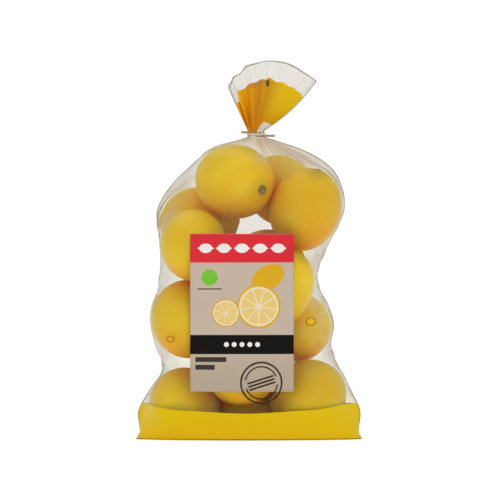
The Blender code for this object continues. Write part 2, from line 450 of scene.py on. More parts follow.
def lemon_points(name):
    """One point for each lemon, with the turn, half size and tint that the trees read."""
    data = bpy.data.meshes.new(name)
    data.from_pydata([(x * MM, y * MM, z * MM) for x, y, z, *_ in LEMONS], [], [])
    turns = [(0, math.radians(90 - row[4]), math.radians(row[3])) for row in LEMONS]
    halves = [(row[6] * MM / 2, row[6] * MM / 2, row[5] * MM / 2) for row in LEMONS]
    store(data, "turn", "FLOAT_VECTOR", turns)
    store(data, "half_size", "FLOAT_VECTOR", halves)
    store(data, "tint", "FLOAT", [row[7] for row in LEMONS])
    return place_object(name, data)


def peel_material():
    """Ripe lemon peel: a waxed, finely pitted rind, so it shines softly with a broken edge."""
    material, tree = new_material("waxed_lemon_peel")
    own = add(tree, "ShaderNodeAttribute", attribute_name="own").outputs["Vector"]
    tint = add(tree, "ShaderNodeAttribute", attribute_name="tint").outputs["Fac"]
    place = add(tree, "ShaderNodeTexCoord").outputs["Object"]

    base = color_stops(
        add(tree, "ShaderNodeValToRGB", tint), (0.0, srgb("F6DC34")), (0.12, srgb("E8CC32")),
        (0.5, srgb("E0C02E")), (1.0, srgb("DCAE24")),
    )
    # Ripening: patches about 20 mm across, deeper and paler than the rest.
    patch = add(tree, "ShaderNodeTexNoise", {
        "Vector": place, "Scale": 1 / (22 * MM), "Detail": 3.0, "Roughness": 0.55,
    })
    deep = add(tree, "ShaderNodeMapRange", patch, 0.4, 0.7, 0.0, 0.4)
    base = add(tree, "ShaderNodeMix", deep, base, srgb("E2AA08"), data_type="RGBA")
    pale = add(tree, "ShaderNodeMapRange", patch, 0.3, 0.48, 0.35, 0.0)
    base = add(tree, "ShaderNodeMix", pale, base, srgb("E8D234"), data_type="RGBA")
    # The two ends keep a little green, and so does one cheek of most fruit.
    part = add(tree, "ShaderNodeSeparateXYZ", own).outputs
    end = add(tree, "ShaderNodeMath", part["Z"], operation="ABSOLUTE")
    green = add(tree, "ShaderNodeMapRange", end, 0.84, 0.99)
    blossom = add(tree, "ShaderNodeMath", part["Z"], 0.0, operation="LESS_THAN")
    share = add(tree, "ShaderNodeMath", blossom, 0.35, 0.45, operation="MULTIPLY_ADD")
    green = add(tree, "ShaderNodeMath", green, share, operation="MULTIPLY")
    base = add(tree, "ShaderNodeMix", green, base, srgb("A2961C"), data_type="RGBA")
    cheek = add(tree, "ShaderNodeTexNoise", {"Vector": place, "Scale": 1 / (46 * MM), "Detail": 1.0})
    cheek = add(tree, "ShaderNodeMapRange", cheek, 0.5, 0.68, 0.0, 0.35)
    base = add(tree, "ShaderNodeMix", cheek, base, srgb("D6C214"), data_type="RGBA")
    # Painted bounce light and shade: deep in the pack, where light goes from peel to peel, the peel
    # is painted orange.
    painted_bounce_shade = add(tree, "ShaderNodeAttribute", attribute_name="painted_bounce_shade").outputs["Fac"]
    painted_bounce_shade = add(tree, "ShaderNodeMath", painted_bounce_shade, 0.75, operation="MULTIPLY")
    base = add(tree, "ShaderNodeMix", painted_bounce_shade, base, srgb("F28804"), data_type="RGBA")
    # Oil glands are under 1 mm apart. They are drawn 1.6 mm apart so that they show.
    gland = add(tree, "ShaderNodeTexVoronoi", {"Vector": place, "Scale": 1 / (1.6 * MM)},
                feature="SMOOTH_F1").outputs["Distance"]
    pit = add(tree, "ShaderNodeMapRange", gland, 0.0, 0.45)
    in_pit = add(tree, "ShaderNodeMapRange", gland, 0.0, 0.45, 0.12, 0.0)
    base = add(tree, "ShaderNodeMix", in_pit, base, srgb("B07A08"), data_type="RGBA")
    # The blossom end closes in a small brown scar.
    flat = add(tree, "ShaderNodeCombineXYZ", part["X"], part["Y"])
    out = add(tree, "ShaderNodeVectorMath", flat, operation="LENGTH")
    ragged = add(tree, "ShaderNodeMath", patch, 0.05, out, operation="MULTIPLY_ADD")
    spot = add(tree, "ShaderNodeMapRange", ragged, 0.055, 0.085, blossom, 0.0)
    base = add(tree, "ShaderNodeMix", spot, base, srgb("54431C"), data_type="RGBA")

    grain = add(tree, "ShaderNodeTexNoise", {"Vector": place, "Scale": 1 / (5 * MM), "Detail": 4.0})
    relief = add(tree, "ShaderNodeMath", grain, 0.6, pit, operation="MULTIPLY_ADD")
    bump = add(tree, "ShaderNodeBump", {"Height": relief, "Strength": 0.4, "Distance": 0.3 * MM})
    rough = add(tree, "ShaderNodeMath", grain, 0.16, 0.42, operation="MULTIPLY_ADD")
    shader = add(tree, "ShaderNodeBsdfPrincipled", {
        "Base Color": base, "Roughness": rough, "Normal": bump, "IOR": 1.45,
        "Specular IOR Level": 0.14, "Subsurface Weight": 0.7,
        "Subsurface Radius": (1.0, 0.3, 0.04), "Subsurface Scale": 15 * MM,
    })
    show(tree, shader)
    return material


def scar_material():
    """The dry, grey-brown bark of a broken stalk."""
    material, tree = new_material("dry_stem_scar")
    place = add(tree, "ShaderNodeTexCoord").outputs["Object"]
    grain = add(tree, "ShaderNodeTexNoise", {"Vector": place, "Scale": 1 / (1.5 * MM), "Detail": 4.0})
    color = color_stops(
        add(tree, "ShaderNodeValToRGB", grain), (0.3, srgb("554620")), (0.55, srgb("8A7A42")),
        (0.75, srgb("B4A66C")),
    )
    bump = add(tree, "ShaderNodeBump", {"Height": grain, "Strength": 0.6, "Distance": 0.3 * MM})
    shader = add(tree, "ShaderNodeBsdfPrincipled", {
        "Base Color": color, "Roughness": 0.85, "Normal": bump,
    })
    show(tree, shader)
    return material


def paint_bounce_shade(lemons):
    """Keeps a mask of painted orange bounce light and shade: how deep in the pack each point of the
    peel lies.

    It is 1 where two lemons touch, and a part of that underneath, where light comes
    only off other fruit.
    """
    count = len(lemons.data.vertices)
    places = np.empty(count * 3, np.float32)
    lemons.data.vertices.foreach_get("co", places)
    places = places.reshape(-1, 3)
    normals = np.empty(count * 3, np.float32)
    lemons.data.vertices.foreach_get("normal", normals)
    # Undersides take part of the painted bounce shade.
    under = smooth_step(-normals.reshape(-1, 3)[:, 2]) * UNDERSIDE_BOUNCE_SHADE
    gaps = [
        (np.linalg.norm((places - centre) @ turn / half, axis=1) - 1) * half.mean()
        for centre, turn, half in fruit_frames(0.0)
    ]
    beside = np.sort(gaps, axis=0)[1]
    painted_bounce_shade = np.maximum(np.exp(-np.maximum(beside, 0) / BOUNCE_SHADE_REACH), under)
    store(lemons.data, "painted_bounce_shade", "FLOAT", painted_bounce_shade)


def make_lemons():
    lemons = run_tree(lemon_points("lemons"), lemon_tree(), {
        "Segments": 84, "Rings": 84, "Tip height": 0.06, "Tip width": 0.19,
        "Unevenness": 1.6 * MM, "Peel lumps": 0.35 * MM, "Seed": 4.0, "Peel": peel_material(),
    })
    # Painted orange bounce light and shade on the peel, in the gaps between fruit and on undersides.
    paint_bounce_shade(lemons)
    scars = run_tree(lemon_points("stem_scars"), calyx_tree(), {
        "Star radius": 0.2, "Seat": 0.93, "Thickness": 0.035, "Bark": scar_material(),
    })
    return lemons, scars


# ---------------------------------------------------------------- film

def seam_rows():
    """The seam table in metres, closed at the top by the neck's own size."""
    rows = [tuple(value * MM for value in row) for row in SEAMS]
    rows.append((NECK_LOW, NECK_X - NECK_RADIUS, NECK_X + NECK_RADIUS, NECK_RADIUS))
    return rows


def seam_at(height, rows):
    """Left seam, right seam and half depth at a height, on a smooth curve through the rows."""
    last = len(rows) - 1
    row = max(0, min(last - 1, sum(1 for entry in rows if entry[0] <= height) - 1))
    low, high = rows[row], rows[row + 1]
    before, after = rows[max(row - 1, 0)], rows[min(row + 2, last)]
    span = high[0] - low[0]
    part = (height - low[0]) / span
    values = []
    for axis in (1, 2, 3):
        slope_low = (high[axis] - before[axis]) / (high[0] - before[0]) * span
        slope_high = (after[axis] - low[axis]) / (after[0] - low[0]) * span
        square, cube = part * part, part ** 3
        values.append(
            low[axis] * (2 * cube - 3 * square + 1)
            + slope_low * (cube - 2 * square + part)
            + high[axis] * (3 * square - 2 * cube)
            + slope_high * (cube - square)
        )
    return values


def ring_angles(columns):
    """Angles round one ring: the left seam first, then the front, right seam and back."""
    return np.linspace(0, 2 * np.pi, columns, endpoint=False)


def body_ring(height, rows, columns):
    left, right, depth = seam_at(height, rows)
    power = between(FOOT_LENS, OVAL, smooth_step(height / LENS_FADE))
    if height >= rows[-2][0]:
        power = between(OVAL, 1.0, (height - rows[-2][0]) / (NECK_LOW - rows[-2][0]))
    middle, half = (left + right) / 2, (right - left) / 2
    angles = ring_angles(columns)
    sines = np.sin(angles)
    return np.stack([
        middle - half * np.cos(angles),
        -np.sign(sines) * np.abs(sines) ** power * depth,
        np.full(columns, height),
    ], 1)


def neck_ring(height, columns):
    """The gathered neck: a rope of small folds inside the tie."""
    angles = ring_angles(columns)
    folds = 0.5 * np.sin(13 * angles + 0.6) + 0.35 * np.sin(22 * angles + 2.0)
    folds[[0, columns // 2]] = 0
    radius = NECK_RADIUS + (folds - 0.4) * NECK_FOLD
    return np.stack([
        NECK_X - radius * np.cos(angles),
        -radius * np.sin(angles),
        np.full(columns, height),
    ], 1)


def fruit_frames(gap):
    """Each lemon as its centre, the turn into its own axes, and its half sizes with the gap."""
    frames = []
    for x, y, z, heading, pitch, length, width, _ in LEMONS:
        turn = Euler((0, -math.radians(pitch), math.radians(heading))).to_matrix()
        half = np.array([length, width, width]) * MM / 2 + gap
        frames.append((np.array([x, y, z]) * MM, np.array(turn), half))
    return frames


def push_out(points, frames):
    """Moves every point that has sunk into a lemon back onto its surface."""
    for centre, turn, half in frames:
        offset = points - centre
        near = np.abs(offset).max(-1) < half[0]
        local = offset[near] @ turn
        share = np.linalg.norm(local / half, axis=-1, keepdims=True)
        inside = share < 1
        local = np.where(inside, local / np.maximum(share, 1e-6), local)
        points[near] = centre + local @ turn.T


def tighten(points, frames, steps):
    """Draws the film tight over the fruit: smoothing pulls it in and the fruit holds it out."""
    seams = [0, points.shape[1] // 2]
    held = points[1:-1, seams].copy()
    for _ in range(steps):
        beside = np.roll(points, 1, 1) + np.roll(points, -1, 1)
        around = (beside[1:-1] + points[2:] + points[:-2]) / 4
        points[1:-1] += 0.5 * (around - points[1:-1])
        points[1:-1, seams, 0] = held[..., 0]
        points[1:-1, seams, 2] = held[..., 2]
        inner = points[1:-1]
        push_out(inner, frames)
        points[1:-1] = inner


def refine(points, rows, columns):
    """The coarse grid read off at the fine grid's rows and columns."""
    closed = np.concatenate([points, points[:, :1]], 1)
    at_row = np.linspace(0, len(points) - 1, rows + 1)
    at_column = np.linspace(0, points.shape[1], columns, endpoint=False)
    row = np.minimum(at_row.astype(int), len(points) - 2)
    column = at_column.astype(int)
    up = (at_row - row)[:, None, None]
    on = (at_column - column)[None, :, None]
    low = closed[row][:, column] * (1 - on) + closed[row][:, column + 1] * on
    high = closed[row + 1][:, column] * (1 - on) + closed[row + 1][:, column + 1] * on
    return low * (1 - up) + high * up


def outward(points):
    """The level direction from the neck's axis to each point, with length 1."""
    out = points - np.array([NECK_X, 0, 0])
    out[..., 2] = 0
    return out / np.maximum(np.linalg.norm(out, axis=-1, keepdims=True), 1e-9)


def pleat_shoulders(points):
    """Gathers that run up into the neck: uneven folds, deeper the closer they come to it."""
    angles = ring_angles(points.shape[1])
    folds = sum(
        np.maximum(0, np.cos(turns * angles + start)) ** sharpness * size
        for turns, start, sharpness, size in SHOULDER_FOLDS
    )
    # They come in three groups round the bag.
    folds *= 0.65 + 0.35 * np.cos(3 * angles + 1.2)
    rise = np.clip((points[..., 2] - SHOULDER_FROM) / (NECK_LOW - SHOULDER_FROM), 0, 1)
    depth = folds[None] * rise ** 1.3 * np.minimum(1, (1 - rise) * 8) * SHOULDER_DEPTH
    depth[:, [0, points.shape[1] // 2]] = 0
    points += outward(points) * depth[..., None]


def gap_to_fruit(points, frames):
    """How far each point is from the nearest lemon, roughly, in metres."""
    gap = np.full(points.shape[:-1], 1.0)
    for centre, turn, half in frames:
        share = np.linalg.norm((points - centre) @ turn / half, axis=-1)
        gap = np.minimum(gap, (share - 1) * half.mean())
    return np.maximum(gap, 0)


def wrinkle(points, slack):
    """Sharp little pull lines where the film hangs free between lemons."""
    angles = ring_angles(points.shape[1])[None]
    heights = points[..., 2] / MM
    lines = np.zeros(points.shape[:-1])
    for turns, climb, start, size in WRINKLES:
        wave = np.sin(turns * angles + climb * heights + start)
        lines += size * np.maximum(0, wave) ** 4
    label = (
        (points[..., 1] < 0)
        & (points[..., 0] > LABEL_LEFT - LABEL_MARGIN)
        & (points[..., 0] < LABEL_LEFT + LABEL_WIDTH + LABEL_MARGIN)
        & (points[..., 2] > LABEL_LOW - LABEL_MARGIN)
        & (points[..., 2] < LABEL_LOW + LABEL_HEIGHT + LABEL_MARGIN)
    )
    strength = slack * smooth_step((heights - WRINKLE_START) / WRINKLE_RISE)
    strength *= smooth_step((WRINKLE_END - heights) / WRINKLE_FALL)
    strength[label] = 0
    strength[:, [0, points.shape[1] // 2]] = 0
    points += outward(points) * (lines * strength * WRINKLE_DEPTH)[..., None]


def ruffle_layer(count, folds):
    """Depth of one layer of the ruffle along its width, the sum of its folds."""
    share = np.linspace(0, 1, count)
    depth = np.zeros(count)
    for place, width, size in folds:
        depth += size * np.exp(-((share - place) / width) ** 2)
    return depth


def ruffle_rings(columns):
    """Rings from the neck up to the rim of the ruffle."""
    half = columns // 2
    share = (1 - np.cos(ring_angles(columns))) / 2
    fold = np.zeros(columns)
    fold[:half + 1] = ruffle_layer(half + 1, FRONT_FOLDS)
    fold[half + 1:] = ruffle_layer(half + 1, BACK_FOLDS)[-2:0:-1]
    side = np.where(np.arange(columns) <= half, -1.0, 1.0)
    edge = np.clip(np.sin(ring_angles(columns)) ** 2 * 6, 0, 1)
    neck = neck_ring(NECK_HIGH, columns)

    lean = between(RUFFLE_LEFT, RUFFLE_RIGHT, share)
    places, reaches = np.array(RIM).T
    reach = np.interp(share, places, reaches) * MM
    reach = reach * (1 - RIM_WAVE * fold * edge)
    rim = np.stack([
        NECK_X + reach * np.sin(lean), np.zeros(columns), TIE_Z + reach * np.cos(lean),
    ], 1)
    rings = []
    for row in range(1, RUFFLE_ROWS + 1):
        out = row / RUFFLE_ROWS
        ring = between(neck, rim, out)
        layer = between(NECK_RADIUS * 0.6, RUFFLE_HALF_DEPTH, out)
        spread = smooth_step(np.array(out * 1.8))
        depth_here = between(np.abs(neck[:, 1]), layer * edge, spread)
        swing = PLEAT_DEPTH * out ** 0.6 * (1.35 - out)
        ring[:, 1] = side * depth_here + fold * edge * swing
        ring[:, 0] += 0.5 * fold * edge * swing * (1 - share) ** 2
        bulge = RIGHT_BULGE * share ** 4 * math.sin(math.pi * out)
        ring[:, 0] += bulge * np.cos(lean)
        ring[:, 2] -= bulge * np.sin(lean)
        rings.append(ring)
    return rings


def film_points():
    """All rings of the film from foot to rim, each ring's height on the sheet, and the slack."""
    rows = seam_rows()
    coarse = np.array([
        body_ring(NECK_LOW * row / COARSE_ROWS, rows, COARSE_COLUMNS)
        for row in range(COARSE_ROWS + 1)
    ])
    tighten(coarse, fruit_frames(COARSE_GAP), COARSE_STEPS)
    fine = refine(coarse, FINE_ROWS, FINE_COLUMNS)
    heights = NECK_LOW * np.arange(FINE_ROWS + 1) / FINE_ROWS
    for row, height in enumerate(heights):
        left, right, _ = seam_at(height, rows)
        fine[row, 0, 0] = left
        fine[row, FINE_COLUMNS // 2, 0] = right
    fine[0] = body_ring(0, rows, FINE_COLUMNS)
    fine[-1] = neck_ring(NECK_LOW, FINE_COLUMNS)
    fine_frames = fruit_frames(FINE_GAP)
    tighten(fine, fine_frames, FINE_STEPS)
    pleat_shoulders(fine)
    slack = smooth_step(gap_to_fruit(fine, fine_frames) / SLACK_GAP)
    wrinkle(fine, slack)
    inner = fine[1:-1]
    push_out(inner, fine_frames)
    rings = list(fine) + [neck_ring(NECK_HIGH, FINE_COLUMNS)] + ruffle_rings(FINE_COLUMNS)
    rise = list(heights) + [NECK_HIGH]
    rise += [NECK_HIGH + row / RUFFLE_ROWS * RUFFLE_LONG for row in range(1, RUFFLE_ROWS + 1)]
    slack = np.concatenate([slack, np.ones((RUFFLE_ROWS + 1, FINE_COLUMNS))])
    return np.array(rings), np.array(rise), slack


def cut_vent_holes(points, faces):
    """Leaves out the faces inside each vent hole and draws their neighbours onto its edge.

    Gives the faces that are left and the rim of each hole.
    """
    rims = []
    for x, z, half_width, half_height in VENT_HOLES:
        offset = (points[:, [0, 2]] - (x, z)) / (half_width, half_height)
        far = np.linalg.norm(offset, axis=1)
        inside = (far < 1) & (points[:, 1] < 0)
        dropped = inside[faces].any(1)
        edge = np.unique(faces[dropped])
        edge = edge[~inside[edge]]
        faces = faces[~dropped]
        points[edge, 0] = x + offset[edge, 0] / far[edge] * half_width
        points[edge, 2] = z + offset[edge, 1] / far[edge] * half_height
        order = np.argsort(np.arctan2(offset[edge, 1], offset[edge, 0]))
        rims.append(points[edge[order]])
    return faces, rims


def film_fields(tree):
    """What the film's looks depend on: its place on the sheet, its slack, folds and relief.

    The sheet attribute holds the film's own place: X from -1 at the left seam to 1 at the
    right one, Y below 0 on the front, and Z the height along the sheet in metres.
    """
    sheet = add(tree, "ShaderNodeAttribute", attribute_name="sheet").outputs["Vector"]
    slack = add(tree, "ShaderNodeAttribute", attribute_name="slack").outputs["Fac"]
    place = add(tree, "ShaderNodeTexCoord").outputs["Object"]
    part = add(tree, "ShaderNodeSeparateXYZ", sheet).outputs
    across = add(tree, "ShaderNodeMath", part["X"], 0.5, 0.5, operation="MULTIPLY_ADD")
    front = add(tree, "ShaderNodeMath", part["Y"], 0.0, operation="LESS_THAN")
    rise = part["Z"]

    def stretched_noise(turns, length, detail, distortion):
        """Streaks that run up the sheet and close in on each other towards the neck."""
        scale = (turns, turns, 1 / length)
        own = add(tree, "ShaderNodeMapping", {"Vector": sheet, "Scale": scale})
        return add(tree, "ShaderNodeTexNoise", {
            "Vector": own, "Scale": 1.0, "Detail": detail, "Distortion": distortion,
        })

    # Pull lines about 8 mm apart on the body, and fine gathers near the neck.
    creases = stretched_noise(9.0, 60 * MM, 3.0, 0.5)
    gathers = stretched_noise(17.0, 45 * MM, 2.0, 0.2)
    # The gathers start higher on the left than on the right.
    gather_from = add(tree, "ShaderNodeMapRange", across, 0.5, 0.7, 222 * MM, 188 * MM,
                      interpolation_type="SMOOTHSTEP")
    height = add(tree, "ShaderNodeMapRange", rise, gather_from, NECK_LOW,
                 interpolation_type="SMOOTHSTEP")
    past_neck = add(tree, "ShaderNodeMapRange", rise, NECK_HIGH, NECK_HIGH + 0.5 * RUFFLE_LONG,
                    1.0, 0.12)
    gathered = add(tree, "ShaderNodeMath", height, past_neck, operation="MULTIPLY")
    relief = add(tree, "ShaderNodeMath", gathers, gathered, creases, operation="MULTIPLY_ADD")
    bump = add(tree, "ShaderNodeBump", {"Height": relief, "Strength": 0.4, "Distance": 0.6 * MM})
    facing = add(tree, "ShaderNodeLayerWeight", {"Blend": 0.5}).outputs["Facing"]
    return SimpleNamespace(
        sheet=sheet, place=place, side=part["X"], across=across, front=front, rise=rise,
        slack=slack, creases=creases, gathers=gathers, gathered=gathered, bump=bump,
        facing=facing,
    )


def clear_film(tree, at):
    """Clear film. It is milkier where it is slack, gathered or creased."""
    everywhere, if_slack, on_crease, near_neck, on_streak = CLEAR_MILK
    crest = add(tree, "ShaderNodeMapRange", at.creases, 0.5, 0.72)
    crest = add(tree, "ShaderNodeMath", crest, at.slack, operation="MULTIPLY")
    in_neck = add(tree, "ShaderNodeMapRange", at.gathers, 0.5, 0.64, near_neck,
                  near_neck + on_streak)
    milk = add(tree, "ShaderNodeMath", at.slack, if_slack, everywhere, operation="MULTIPLY_ADD")
    milk = add(tree, "ShaderNodeMath", crest, on_crease, milk, operation="MULTIPLY_ADD")
    milk = add(tree, "ShaderNodeMath", at.gathered, in_neck, milk, operation="MULTIPLY_ADD")
    edge_on = add(tree, "ShaderNodeMath", at.facing, 3.0, operation="POWER")
    milk = add(tree, "ShaderNodeMath", edge_on, 0.26, milk, operation="MULTIPLY_ADD")
    # Two rolled-up strands hang from the neck down the front.
    climb = add(tree, "ShaderNodeMath", at.rise, 1 / (30 * MM), operation="MULTIPLY")
    sway = add(tree, "ShaderNodeTexNoise", {"W": climb, "Scale": 1.0, "Detail": 0.0},
               noise_dimensions="1D")
    under_neck = add(tree, "ShaderNodeMath", at.rise, NECK_LOW, operation="LESS_THAN")
    hang = add(tree, "ShaderNodeMapRange", at.rise, 207 * MM, 216 * MM,
               interpolation_type="SMOOTHSTEP")
    hang = add(tree, "ShaderNodeMath", hang, at.front, operation="MULTIPLY")
    hang = add(tree, "ShaderNodeMath", hang, under_neck, operation="MULTIPLY")
    for middle, width, size in STRANDS:
        off = add(tree, "ShaderNodeMath", sway, 0.1, middle - 0.05, operation="MULTIPLY_ADD")
        off = add(tree, "ShaderNodeMath", at.side, off, operation="SUBTRACT")
        off = add(tree, "ShaderNodeMath", off, operation="ABSOLUTE")
        strand = add(tree, "ShaderNodeMapRange", off, 0.0, width, size, 0.0,
                     interpolation_type="SMOOTHSTEP")
        milk = add(tree, "ShaderNodeMath", strand, hang, milk, operation="MULTIPLY_ADD")
    clear_tint = add(tree, "ShaderNodeMix", at.slack, srgb("FBFAF7"), srgb("F8F7F5"),
                     data_type="RGBA")
    clear_tint = add(tree, "ShaderNodeMix", edge_on, clear_tint, srgb("E6E5E1"), data_type="RGBA")
    clear = add(tree, "ShaderNodeBsdfTransparent", {"Color": clear_tint})
    # Painted bounce light: the haze of gathered film is painted yellow, for the light of the fruit in
    # its folds.
    haze_and_painted_bounce_color = add(tree, "ShaderNodeMix", at.gathered, srgb("E5E3DB"), srgb("E2CDA0"),
                     data_type="RGBA")
    lit = add(tree, "ShaderNodeBsdfDiffuse", {"Color": haze_and_painted_bounce_color, "Normal": at.bump})
    glow = add(tree, "ShaderNodeBsdfTranslucent", {"Color": haze_and_painted_bounce_color, "Normal": at.bump})
    haze = add(tree, "ShaderNodeMixShader", 0.5, lit, glow)
    return add(tree, "ShaderNodeMixShader", milk, clear, haze)


def foot_print(tree, at):
    """The foot band, where it lies and its ink.

    It is straight on the sheet, so its edge stands higher at the two corners.
    """
    corner = add(tree, "ShaderNodeMath", at.side, operation="ABSOLUTE")
    corner = add(tree, "ShaderNodeMath", corner, 1.6, operation="POWER")
    foot_top = add(tree, "ShaderNodeMath", corner, FOOT_BAND_CORNER, FOOT_BAND,
                   operation="MULTIPLY_ADD")
    on_foot = add(tree, "ShaderNodeMath", at.rise, foot_top, operation="LESS_THAN")
    wander = add(tree, "ShaderNodeTexNoise", {
        "Vector": at.place, "Scale": 1 / (40 * MM), "Detail": 1.0,
    })
    up_foot = add(tree, "ShaderNodeMath", at.rise, 22 * MM, operation="DIVIDE")
    up_foot = add(tree, "ShaderNodeMath", wander, 0.4, up_foot, operation="MULTIPLY_ADD")
    foot_color = add(tree, "ShaderNodeMix", up_foot, srgb("ECBE08"), srgb("E4C30A"),
                     data_type="RGBA")
    weld = add(tree, "ShaderNodeMath", at.rise, FOOT_WELD, operation="LESS_THAN")
    weld = add(tree, "ShaderNodeMath", weld, 0.5, operation="MULTIPLY")
    foot_color = add(tree, "ShaderNodeMix", weld, foot_color, srgb("A88408"), data_type="RGBA")
    foot_lit = add(tree, "ShaderNodeBsdfPrincipled", {
        "Base Color": foot_color, "Roughness": 0.4, "Normal": at.bump, "Specular IOR Level": 0.04,
    })
    foot_glow = add(tree, "ShaderNodeBsdfTranslucent", {"Color": foot_color})
    return on_foot, add(tree, "ShaderNodeMixShader", 0.15, foot_lit, foot_glow)


def ruffle_print(tree, at):
    """The ruffle's print, where it lies and its ink, which lets some light through.

    It stops short of the rim, and near the neck it leaves the right side clear.
    """
    broad = add(tree, "ShaderNodeMapping", {"Vector": at.sheet, "Scale": (2.4, 2.0, 0.0)})
    steps = add(tree, "ShaderNodeTexNoise", {"Vector": broad, "Scale": 1.0, "Detail": 1.0})
    print_top = add(tree, "ShaderNodeMath", steps, 12 * MM, NECK_HIGH + 0.64 * RUFFLE_LONG,
                    operation="MULTIPLY_ADD")
    left_drop = add(tree, "ShaderNodeMapRange", at.across, 0.07, 0.14, 9 * MM, 0.0,
                    interpolation_type="SMOOTHSTEP")
    print_top = add(tree, "ShaderNodeMath", print_top, left_drop, operation="SUBTRACT")
    # In the middle the front's print ends lower, and the back's shows above it.
    in_middle = add(tree, "ShaderNodeMath", at.across, 0.36, 0.16, operation="COMPARE")
    front_drop = add(tree, "ShaderNodeMath", in_middle, at.front, operation="MULTIPLY")
    print_top = add(tree, "ShaderNodeMath", front_drop, -4 * MM, print_top,
                    operation="MULTIPLY_ADD")
    low_right = add(tree, "ShaderNodeMapRange", at.across, 0.5, 0.74, NECK_HIGH - 2 * MM,
                    NECK_HIGH + 0.14 * RUFFLE_LONG, interpolation_type="SMOOTHSTEP")
    under_top = add(tree, "ShaderNodeMath", at.rise, print_top, operation="LESS_THAN")
    over_low = add(tree, "ShaderNodeMath", at.rise, low_right, operation="GREATER_THAN")
    over_neck = add(tree, "ShaderNodeMath", at.rise, NECK_HIGH - 1 * MM, operation="GREATER_THAN")
    on_ruffle = add(tree, "ShaderNodeMath", under_top, over_low, operation="MULTIPLY")
    on_ruffle = add(tree, "ShaderNodeMath", on_ruffle, over_neck, operation="MULTIPLY")
    # Painted shade and light through stacked layers: along the fold streaks and across the width, the
    # ink is painted deeper orange where the film lies folded.
    painted_fold_shade = add(tree, "ShaderNodeMath", at.gathers, 0.1, -0.05, operation="MULTIPLY_ADD")
    painted_fold_shade = add(tree, "ShaderNodeMath", painted_fold_shade, at.across, operation="ADD")
    ruffle_color = color_stops(
        add(tree, "ShaderNodeValToRGB", painted_fold_shade), (0.05, srgb("F8D21A")), (0.14, srgb("F8D018")),
        (0.19, srgb("F2BA12")), (0.23, srgb("F8D21A")), (0.27, srgb("F0AE10")),
        (0.32, srgb("F0BA10")), (0.46, srgb("DCA00A")), (0.5, srgb("EABA1A")),
        (0.58, srgb("E0B20C")), (0.75, srgb("F0D40A")),
    )
    # Painted shade: towards the neck, where the folds close up, the ink is painted deeper.
    painted_neck_shade = add(tree, "ShaderNodeMapRange", at.rise, NECK_HIGH + 0.5 * RUFFLE_LONG, NECK_HIGH,
                0.0, 0.6, interpolation_type="SMOOTHSTEP")
    ruffle_color = add(tree, "ShaderNodeMix", painted_neck_shade, ruffle_color, srgb("E6960C"),
                       data_type="RGBA")
    # A small dark eye mark is printed by the upper edge.
    mark = add(tree, "ShaderNodeMapping", {
        "Vector": at.place, "Location": EYE_MARK, "Scale": EYE_MARK_HALF,
    }, vector_type="TEXTURE")
    mark_part = add(tree, "ShaderNodeSeparateXYZ", mark).outputs
    wide = add(tree, "ShaderNodeMath", mark_part["X"], 0.0, 1.0, operation="COMPARE")
    tall = add(tree, "ShaderNodeMath", mark_part["Z"], 0.0, 1.0, operation="COMPARE")
    marked = add(tree, "ShaderNodeMath", wide, tall, operation="MULTIPLY")
    marked = add(tree, "ShaderNodeMath", marked, at.front, operation="MULTIPLY")
    inked = add(tree, "ShaderNodeMath", marked, 0.8, operation="MULTIPLY")
    ruffle_color = add(tree, "ShaderNodeMix", inked, ruffle_color, srgb("3A2C10"),
                       data_type="RGBA")
    on_ruffle = add(tree, "ShaderNodeMath", on_ruffle, marked, operation="MAXIMUM")
    ruffle_lit = add(tree, "ShaderNodeBsdfPrincipled", {
        "Base Color": ruffle_color, "Roughness": 0.45, "Normal": at.bump,
        "Specular IOR Level": 0.12,
    })
    ruffle_glow = add(tree, "ShaderNodeBsdfTranslucent", {"Color": ruffle_color, "Normal": at.bump})
    ruffle_ink = add(tree, "ShaderNodeMixShader", 0.45, ruffle_lit, ruffle_glow)
    ruffle_clear = add(tree, "ShaderNodeBsdfTransparent", {"Color": srgb("F6E6A8")})
    return on_ruffle, add(tree, "ShaderNodeMixShader", 0.85, ruffle_clear, ruffle_ink)


def film_material():
    """Blown polythene with flexo print: clear and softly glossy where it clings to the fruit,
    milky where it hangs slack or is gathered, darker where it is seen edge-on."""
    material, tree = new_material("blown_polythene_with_yellow_print")
    at = film_fields(tree)
    film = clear_film(tree, at)
    for printed in (ruffle_print, foot_print):
        where, ink = printed(tree, at)
        film = add(tree, "ShaderNodeMixShader", where, film, ink)
    gloss = add(tree, "ShaderNodeBsdfGlossy", {
        "Color": (1, 1, 1, 1), "Roughness": 0.16, "Normal": at.bump,
    })
    # Schlick's curve from Facing, which is the same on both sides of the wall. Its head-on
    # share is lower than polythene's 4%, because each wall is two surfaces with the same gloss.
    mirror = add(tree, "ShaderNodeMath", at.facing, 5.0, operation="POWER")
    mirror = add(tree, "ShaderNodeMath", mirror, 0.4, 0.003, operation="MULTIPLY_ADD")
    film = add(tree, "ShaderNodeMixShader", mirror, film, gloss)
    show(tree, film)
    return material


def make_film(material):
    """The film as one closed thin wall, with the sheet's own coordinates kept on it."""
    rings, rise, slack = film_points()
    rows, columns = rings.shape[:2]
    points = rings.reshape(-1, 3).copy()
    index = np.arange(rows * columns).reshape(rows, columns)
    after = np.roll(index, -1, 1)
    faces = np.stack([index[:-1], after[:-1], after[1:], index[1:]], -1).reshape(-1, 4)
    faces, rims = cut_vent_holes(points, faces)
    half = columns // 2
    foot = []
    for column in range(half):
        corners = [column, column + 1, (columns - column - 1) % columns,
                   (columns - column) % columns]
        foot.append(tuple(dict.fromkeys(reversed(corners))))
    film = new_piece("film", points, [tuple(face) for face in faces] + foot, material)
    angles = ring_angles(columns)
    own = np.zeros((rows, columns, 3), np.float32)
    own[..., 0] = -np.cos(angles)
    own[..., 1] = -np.sin(angles)
    own[..., 2] = rise[:, None]
    store(film.data, "sheet", "FLOAT_VECTOR", own)
    store(film.data, "slack", "FLOAT", slack)
    tree = BVHTree.FromPolygons([tuple(p) for p in points], [tuple(f) for f in faces])
    return thicken(film, FILM_THICK, -1.0), tree, rings, rims


